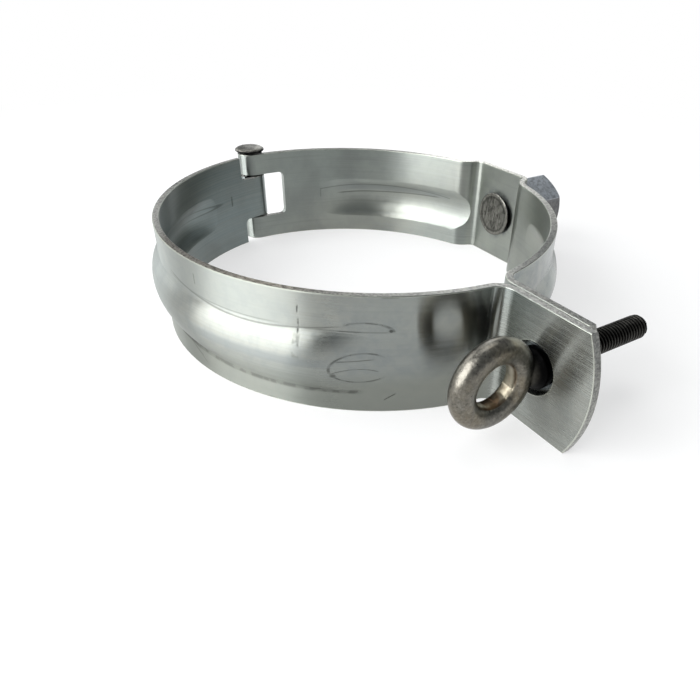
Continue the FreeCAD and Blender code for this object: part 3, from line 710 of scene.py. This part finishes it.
def eye_finish(colour, centre, bore, neck):
    """Forged, oil-dark steel with a satin skin, a brassy trimmed bore and a near-black neck and collar, black
    in part as painted shade for the flange's hole.
    """
    make = Finish("forged_steel")
    skin = make.noise(1700.0, 3.0, 0.65)
    patches = make.noise(170.0, 3.0, 0.55, 0.5)
    cool = make.noise(230.0, 2.0, 0.5, 0.3, place=make.stretched((1.0, 1.0, 1.0), turn=(0.7, 0.3, 1.1)))
    from_axis = oval(make.y, make.z, centre[1:], (MM, MM))
    trimmed = from_axis.ramp(bore / MM + 0.16, bore / MM + 0.24, 1.0, 0.0)
    steel = make.mix(patches.ramp(0.35, 0.65), colour, tinted(colour, 1.10, 1.02, 0.88))
    steel = make.mix(cool.ramp(0.45, 0.75) * 0.5, steel, tinted(colour, 0.90, 0.95, 1.02))
    steel = make.mix(skin.ramp(0.50, 0.70) * 0.5, steel, tinted(colour, 1.9))
    steel = make.mix(skin.ramp(0.30, 0.50, 0.7, 0.0), steel, tinted(colour, 0.55))
    brass = make.mix(patches.ramp(0.38, 0.56), (0.10, 0.068, 0.042), (0.29, 0.265, 0.205))
    steel = make.mix(trimmed, steel, brass)
    # Partly painted shade: the neck and collar are painted near black, reaching far enough to stand for the
    # shade in the flange's hole.
    blackened_and_shade = make.y.ramp(neck - 3.4 * MM, neck - 0.3 * MM)
    steel = make.mix(blackened_and_shade, steel, (0.003, 0.003, 0.003))
    satin = 0.34 + (skin - 0.5) * 0.30 + (patches - 0.5) * 0.12 + blackened_and_shade * 0.15
    normal = make.bump(skin, 0.06 * MM, 0.9)
    normal = make.bump(patches, 0.12 * MM, 0.5, normal)
    return make.apply(steel, satin, normal)


def thread_finish(axis, crest):
    """Near-black thread with its crests a little paler."""
    make = Finish("black_thread")
    fine = make.noise(2200.0, 3.0, 0.65)
    patchy = make.noise(350.0, 3.0, 0.6)
    from_axis = oval(make.x, make.z, axis, (MM, MM))
    crests = from_axis.ramp(crest / MM - 0.28, crest / MM - 0.06)
    steel = make.mix(patchy.ramp(0.35, 0.7), (0.003, 0.003, 0.003), (0.008, 0.008, 0.008))
    steel = make.mix(crests * patchy.ramp(0.25, 0.6, 0.45, 1.0), steel, (0.075, 0.073, 0.067))
    satin = 0.30 + (fine - 0.5) * 0.3
    return make.apply(steel, satin, make.bump(fine, 0.03 * MM, 0.6))


# Pieces

def forge_eye(sizes, centre, shoulder):
    """The eye: a ring of round stock with a rounded neck and a collar, its bore trimmed to flats."""
    stock = sizes.stock / 2
    deselect_all()
    bpy.ops.mesh.primitive_torus_add(location=centre, rotation=(0, pi / 2, 0), major_segments=72,
                                     minor_segments=32, major_radius=sizes.ring_radius, minor_radius=stock)
    eye = added("eye_bolt_eye")
    settle(eye)

    in_stock = sizes.eye_centre + sizes.ring_radius
    neck_end = shoulder + 1.85 * MM
    collar = sizes.collar / 2
    neck = turn_profile("neck", [
        (0, in_stock - 0.6 * stock), (stock, in_stock - 0.4 * stock), (stock * 1.02, in_stock + 0.4 * stock),
        (collar - 0.3 * MM, shoulder), (collar, shoulder + 0.3 * MM),
        (collar, neck_end - 0.2 * MM), (collar - 0.2 * MM, neck_end), (0, neck_end),
    ], ALONG_Y, steps=48)
    neck.location = (sizes.along, 0, STRIP_MIDDLE)
    settle(neck)
    combine(eye, neck, "UNION")
    modify(eye, "REMESH", mode="VOXEL", voxel_size=0.15 * MM)
    modify(eye, "SMOOTH", factor=0.5, iterations=10)

    flats = 14
    deselect_all()
    bpy.ops.mesh.primitive_cylinder_add(vertices=flats, radius=sizes.bore / cos(pi / flats), depth=8 * MM,
                                        location=centre, rotation=(0, pi / 2, 0))
    punch = added("punch")
    settle(punch)
    combine(eye, punch, "DIFFERENCE")
    shade(eye, 35.0)
    return eye


def thread_bolt(sizes, centre, shoulder):
    """The bolt's thread, from inside the collar to its free end, which tapers a little."""
    root = sizes.diameter - 1.1 * sizes.pitch
    thread = make_thread("eye_bolt_thread", centre, shoulder + 1.2 * MM, sizes.end, sizes.diameter, root,
                         sizes.pitch, steps=28)
    tip = (sizes.along, sizes.end, STRIP_MIDDLE)
    edit(thread)
    for reach, share in ((0.75, 0.97), (0.45, 0.95), (0.2, 0.93)):
        pick(thread, "verts", lambda place: place.y > sizes.end - reach * MM)
        bpy.ops.transform.resize(value=(share, 1, share), center_override=tip)
    done()
    shade(thread, 40.0)
    return thread


def shape_boss(sizes):
    """The hexagon with rounded edges, its outer end turned to a chamfer, and the threaded hole in it."""
    axis = (sizes.along, 0, STRIP_MIDDLE)
    corner = sizes.flats / 2 / cos(pi / 6)
    end = sizes.base + sizes.length
    half_way = (sizes.along, sizes.base + sizes.length / 2, STRIP_MIDDLE)
    deselect_all()
    bpy.ops.mesh.primitive_cylinder_add(vertices=6, radius=corner, depth=sizes.length, location=half_way,
                                        rotation=(pi / 2, 0, 0))
    boss = added("hex_boss_body")
    settle(boss)
    edit(boss, "EDGE")
    pick(boss, "edges", lambda place: sizes.base + MM < place.y < end - MM)
    bpy.ops.mesh.bevel(offset=0.35 * MM, segments=3, affect="EDGES")
    done()

    envelope = turn_profile("envelope", [
        (0, sizes.base - MM), (corner + MM, sizes.base - MM), (corner + MM, end - 1.05 * MM),
        (corner + 0.2 * MM, end - 0.95 * MM), (sizes.flats / 2 - 0.2 * MM, end), (0, end),
    ], ALONG_Y, steps=64)
    envelope.location = axis
    settle(envelope)
    combine(boss, envelope, "INTERSECT")

    bottom = end - sizes.depth
    drilled, mouth_radius = sizes.thread / 2 * 0.84, sizes.thread / 2 + 0.5 * MM
    mouth = turn_profile("mouth", [
        (0, bottom - 1.8 * MM), (drilled, bottom), (drilled, end - 1.1 * MM),
        (mouth_radius, end + 0.02 * MM), (mouth_radius, end + MM), (0, end + MM),
    ], ALONG_Y, steps=48)
    mouth.location = axis
    settle(mouth)
    combine(boss, mouth, "DIFFERENCE")
    tap = make_thread("tap", axis, bottom + 0.3 * MM, end + 0.5 * MM, sizes.thread, sizes.thread * 0.82,
                      sizes.pitch, steps=32)
    combine(boss, tap, "DIFFERENCE")
    weld(boss)
    shade(boss, 30.0)
    return boss


def spread_spigot(sizes):
    """The boss's spigot where it is spread on the inside of the plate, with its face hammered uneven."""
    plate, thickness = sizes.base - 1.5 * MM, 1.1 * MM
    face, radius = plate - thickness, sizes.clench / 2
    deselect_all()
    bpy.ops.mesh.primitive_cylinder_add(vertices=44, radius=radius - 0.02 * MM, depth=thickness,
                                        location=(sizes.along, plate - thickness / 2, STRIP_MIDDLE),
                                        rotation=(pi / 2, 0, 0))
    clench = added("boss_clench")
    settle(clench)

    def on_face(place):
        return place.y < face + 0.2 * MM

    def on_outer_edge(place):
        from_axis = Vector((place.x - sizes.along, place.z - STRIP_MIDDLE)).length
        return abs(place.y - face) < 0.15 * MM and from_axis > radius - 0.2 * MM

    edit(clench, "FACE")
    pick(clench, "faces", on_face)
    for width, rise in ((0.45, 0.0), (0.7, -0.12), (1.2, -0.05), (1.4, 0.06)):
        bpy.ops.mesh.inset(thickness=width * MM, depth=rise * MM)
    bpy.ops.mesh.select_mode(type="VERT")
    pick(clench, "verts", on_face)
    bpy.ops.transform.vertex_random(offset=0.07 * MM, seed=4)
    pick(clench, "edges", on_outer_edge)
    bpy.ops.mesh.bevel(offset=0.22 * MM, segments=3, affect="EDGES")
    done()
    modify(clench, "SUBSURF", levels=1, render_levels=1)
    shade(clench, 60.0)
    return clench


def hammer_pin(sizes):
    """The hinge pin with its flattened head, hammered uneven."""
    under, head = sizes.under, sizes.head
    pin = turn_profile("hinge_pin_hammered", [
        (0, 0.3 * MM), (sizes.radius - 0.4 * MM, 0.3 * MM), (sizes.radius, 0.7 * MM), (sizes.radius, under),
        (head - 0.35 * MM, under + 0.02 * MM), (head - 0.08 * MM, under + 0.18 * MM),
        (head, under + 0.42 * MM), (head - 0.1 * MM, under + 0.62 * MM), (head - 0.5 * MM, under + 0.9 * MM),
        (head - 1.2 * MM, under + 1.15 * MM), (head - 2.4 * MM, under + 1.25 * MM), (0, under + 1.28 * MM),
    ], ALONG_Z, steps=40)
    pin.location = (*sizes.place, 0)
    settle(pin)
    edit(pin)
    pick(pin, "verts", lambda place: place.z > under + 0.1 * MM)
    bpy.ops.transform.vertex_random(offset=0.05 * MM, seed=2)
    bpy.ops.transform.resize(value=(0.985, 0.985, 1), center_override=(*sizes.place, under))
    done()
    shade(pin, 40.0)
    return pin


# Stage

def lay_floor(colour):
    """A wide floor that takes a soft shadow and turns white away from the bracket where it is looked at."""
    deselect_all()
    bpy.ops.mesh.primitive_plane_add(size=40.0, location=(0, 0, -0.02 * MM))
    floor = added("floor")
    settle(floor)
    make = Finish("pale_floor", metallic=0.0, Roughness=0.9)
    tone = make.noise(3.0, 1.0)
    make.apply(make.mix(tone, colour, tinted(colour, 0.99)))
    path = make.node("ShaderNodeLightPath")
    rays = ("Is Camera Ray", "Is Glossy Ray", "Is Transmission Ray")
    by_camera, by_gloss, by_glass = [Number(make, path.outputs[ray]) for ray in rays]
    seen = by_camera.greater(by_gloss).greater(by_glass)
    away = (make.x * make.x + make.y * make.y).root()
    share = away.ramp(0.08, 0.30, 0.60, 1.0)
    white = make.node("ShaderNodeEmission", {}, {"Color": (1, 1, 1, 1), "Strength": 1.0})
    values = {0: seen * share, 1: make.shader.outputs[0], 2: white.outputs[0]}
    blend = make.node("ShaderNodeMixShader", {}, values)
    make.tree.links.new(blend.outputs[0], make.tree.nodes["Material Output"].inputs["Surface"])
    dress(floor, make.material)


def light_world(scene):
    """A world that is white at the horizon and fades to a cool grey above it."""
    world = bpy.data.worlds.new("studio")
    scene.world = world
    world.use_nodes = True
    sky = Nodes(world.node_tree)
    place = sky.node("ShaderNodeTexCoord")
    split = sky.node("ShaderNodeSeparateXYZ", {}, {0: place.outputs["Generated"]})
    stops = ((0.0, (1.0, 1.0, 1.0, 1.0)), (0.17, (0.265, 0.28, 0.29, 1.0)))
    fade = sky.node("ShaderNodeValToRGB", {"stops": stops}, {0: split.outputs["Z"]})
    sky.tree.links.new(fade.outputs["Color"], sky.tree.nodes["Background"].inputs["Color"])


def hang_lamps(strength):
    """Soft lamps that face the bracket: name, place, width, height and power of each."""
    aim = Vector((0.0, -0.01, 0.012))
    lamps = [
        ("front_softbox", (-0.07, -0.81, 0.43), 0.88, 0.84, 16.5),
        ("left_softbox", (-0.76, -0.32, 0.38), 0.50, 0.72, 3.0),
        ("top_softbox", (-0.20, 0.10, 0.80), 0.50, 0.40, 1.6),
        ("back_strip", (-0.70, 0.46, 0.45), 0.40, 0.55, 1.9),
    ]
    for name, place, width, height, power in lamps:
        deselect_all()
        turn = (Vector(place) - aim).to_track_quat("Z", "Y").to_euler()
        bpy.ops.object.light_add(type="AREA", location=place, rotation=turn)
        lamp = bpy.context.object
        lamp.name = name
        lamp.data.shape = "RECTANGLE"
        lamp.data.size = width
        lamp.data.size_y = height
        lamp.data.energy = power * strength
        lamp.visible_camera = False


def place_camera(scene, lens):
    """The photograph's camera, from its place and the directions of its picture's sides."""
    right = Vector((0.5370, 0.8434, 0.0154))
    up = Vector((-0.4886, 0.2961, 0.8207))
    back = Vector((0.6877, -0.4483, 0.5711))
    turn = Matrix((right, up, back)).transposed().to_euler()
    deselect_all()
    bpy.ops.object.camera_add(location=(0.12212, -0.07767, 0.07324), rotation=turn)
    camera = bpy.context.object
    camera.name = "photo_view"
    camera.data.lens = lens
    camera.data.sensor_width = 36.0
    camera.data.shift_x = -0.042
    camera.data.shift_y = 0.0377
    camera.data.clip_start = 0.005
    camera.data.clip_end = 20.0
    camera.data.dof.use_dof = False
    scene.camera = camera


# Operators

class BRACKET_OT_finish_strip(bpy.types.Operator):
    """Finish both half bands as galvanised strip"""
    bl_idname = "bracket.finish_strip"
    bl_label = "Finish the Strip"

    def execute(self, context):
        finishes = context.scene.bracket_finishes
        zinc = tuple(finishes.zinc)
        # Some of these colours paint light and shade: the arris colour is a painted highlight, the line
        # colour also paints a highlight on the top of the outside, and the spot colour also carries painted
        # shade.
        colours = {
            "cool": tinted(zinc, 0.93, 1.00, 1.03),
            "warm": tinted(zinc, 1.06, 1.00, 0.95),
            "dull": tinted(zinc, 0.80),
            "line": tinted(zinc, 1.25),
            "spot_and_shade": tinted(zinc, 0.66, 0.69, 0.76),
            "under": tinted(zinc, 0.74, 0.72, 0.66),
            "mark": (0.045, 0.047, 0.042),
            "arris": (0.42, 0.44, 0.39),
            "edge_dark": (0.050, 0.046, 0.040),
            "edge_light": (0.20, 0.19, 0.165),
            "pale_edge_dark": (0.25, 0.25, 0.24),
            "pale_edge_light": (0.52, 0.52, 0.49),
        }
        # The inside colours paint light and shade: darker and bluer in the front half, paler in the wall
        # half.
        front_colours = dict(colours, inside=tinted(zinc, 0.60, 0.74, 0.86), mottling=0.15)
        wall_colours = dict(colours, inside=tinted(zinc, 1.50, 1.47, 1.38), mottling=0.5)
        bolt = context.scene.eye_bolt_sizes.along
        front = front_strip(front_colours, finishes.zinc_roughness, bolt)
        wall = wall_strip(wall_colours, finishes.zinc_roughness, bolt, context.scene.boss_sizes.along)
        repaint("front_band", front)
        repaint("wall_band", wall)
        return {"FINISHED"}


class BRACKET_OT_forge_eye_bolt(bpy.types.Operator):
    """Model the eye bolt: forged eye with a trimmed bore, and a real thread"""
    bl_idname = "bracket.forge_eye_bolt"
    bl_label = "Forge the Eye Bolt"

    def execute(self, context):
        sizes = context.scene.eye_bolt_sizes
        centre = (sizes.along, sizes.eye_centre, STRIP_MIDDLE)
        shoulder = sizes.eye_centre + sizes.ring_radius + sizes.stock / 2
        eye = forge_eye(sizes, centre, shoulder)
        thread = thread_bolt(sizes, centre, shoulder)
        forged = tuple(context.scene.bracket_finishes.forged)
        dress(eye, eye_finish(forged, centre, sizes.bore, shoulder))
        dress(thread, thread_finish((sizes.along, STRIP_MIDDLE), sizes.diameter / 2))
        for piece in (eye, thread):
            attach(piece, "eye_screw")
            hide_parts("eye_bolt")
        return {"FINISHED"}


class BRACKET_OT_make_boss(bpy.types.Operator):
    """Model the hex boss with its real thread, and its spread spigot"""
    bl_idname = "bracket.make_boss"
    bl_label = "Make the Hex Boss"

    def execute(self, context):
        sizes = context.scene.boss_sizes
        finishes = context.scene.bracket_finishes
        boss = shape_boss(sizes)
        clench = spread_spigot(sizes)
        dress(boss, boss_finish(tuple(finishes.boss)))
        dress(clench, hammered_finish("clenched_steel", tuple(finishes.dark), 0.2 * MM, sizes.along))
        for piece in (boss, clench):
            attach(piece, "wall_half")
            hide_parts("hex_boss")
        return {"FINISHED"}


class BRACKET_OT_make_hinge_pin(bpy.types.Operator):
    """Model the hinge pin with its hammered head"""
    bl_idname = "bracket.make_hinge_pin"
    bl_label = "Make the Hinge Pin"

    def execute(self, context):
        pin = hammer_pin(context.scene.pin_sizes)
        dark = tuple(context.scene.bracket_finishes.dark)
        dress(pin, hammered_finish("pin_steel", dark, 0.12 * MM))
        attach(pin, "wall_half")
        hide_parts("hinge_pin")
        return {"FINISHED"}


class BRACKET_OT_set_stage(bpy.types.Operator):
    """Add the floor, the soft lights and the camera"""
    bl_idname = "bracket.set_stage"
    bl_label = "Set the Stage"

    def execute(self, context):
        settings = context.scene.stage_settings
        lay_floor(tuple(settings.floor))
        light_world(context.scene)
        hang_lamps(settings.light)
        place_camera(context.scene, settings.lens)
        context.scene.view_settings.view_transform = "Standard"
        return {"FINISHED"}


class BRACKET_PT_panel(bpy.types.Panel):
    bl_label = "Downpipe Bracket"
    bl_idname = "BRACKET_PT_panel"
    bl_space_type = "VIEW_3D"
    bl_region_type = "UI"
    bl_category = "Bracket"

    def draw(self, context):
        for group in GROUPS:
            settings = getattr(context.scene, group)
            box = self.layout.box()
            for name in settings.bl_rna.properties.keys():
                if name not in ("rna_type", "name"):
                    box.prop(settings, name)
        for operator in STEPS:
            self.layout.operator(operator.bl_idname)


GROUPS = {
    "eye_bolt_sizes": EyeBoltSizes,
    "boss_sizes": BossSizes,
    "pin_sizes": PinSizes,
    "bracket_finishes": BracketFinishes,
    "stage_settings": StageSettings,
}
STEPS = (BRACKET_OT_finish_strip, BRACKET_OT_forge_eye_bolt, BRACKET_OT_make_boss, BRACKET_OT_make_hinge_pin,
         BRACKET_OT_set_stage)


def register():
    for item in (*GROUPS.values(), *STEPS, BRACKET_PT_panel):
        bpy.utils.register_class(item)
    for name, group in GROUPS.items():
        setattr(bpy.types.Scene, name, PointerProperty(type=group))


def unregister():
    for name in GROUPS:
        delattr(bpy.types.Scene, name)
    for item in (BRACKET_PT_panel, *reversed(STEPS), *reversed(GROUPS.values())):
        bpy.utils.unregister_class(item)


def main():
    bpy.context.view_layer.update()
    register()
    bpy.ops.bracket.finish_strip()
    bpy.ops.bracket.forge_eye_bolt()
    bpy.ops.bracket.make_boss()
    bpy.ops.bracket.make_hinge_pin()
    bpy.ops.bracket.set_stage()


if __name__ == "__main__":
    main()
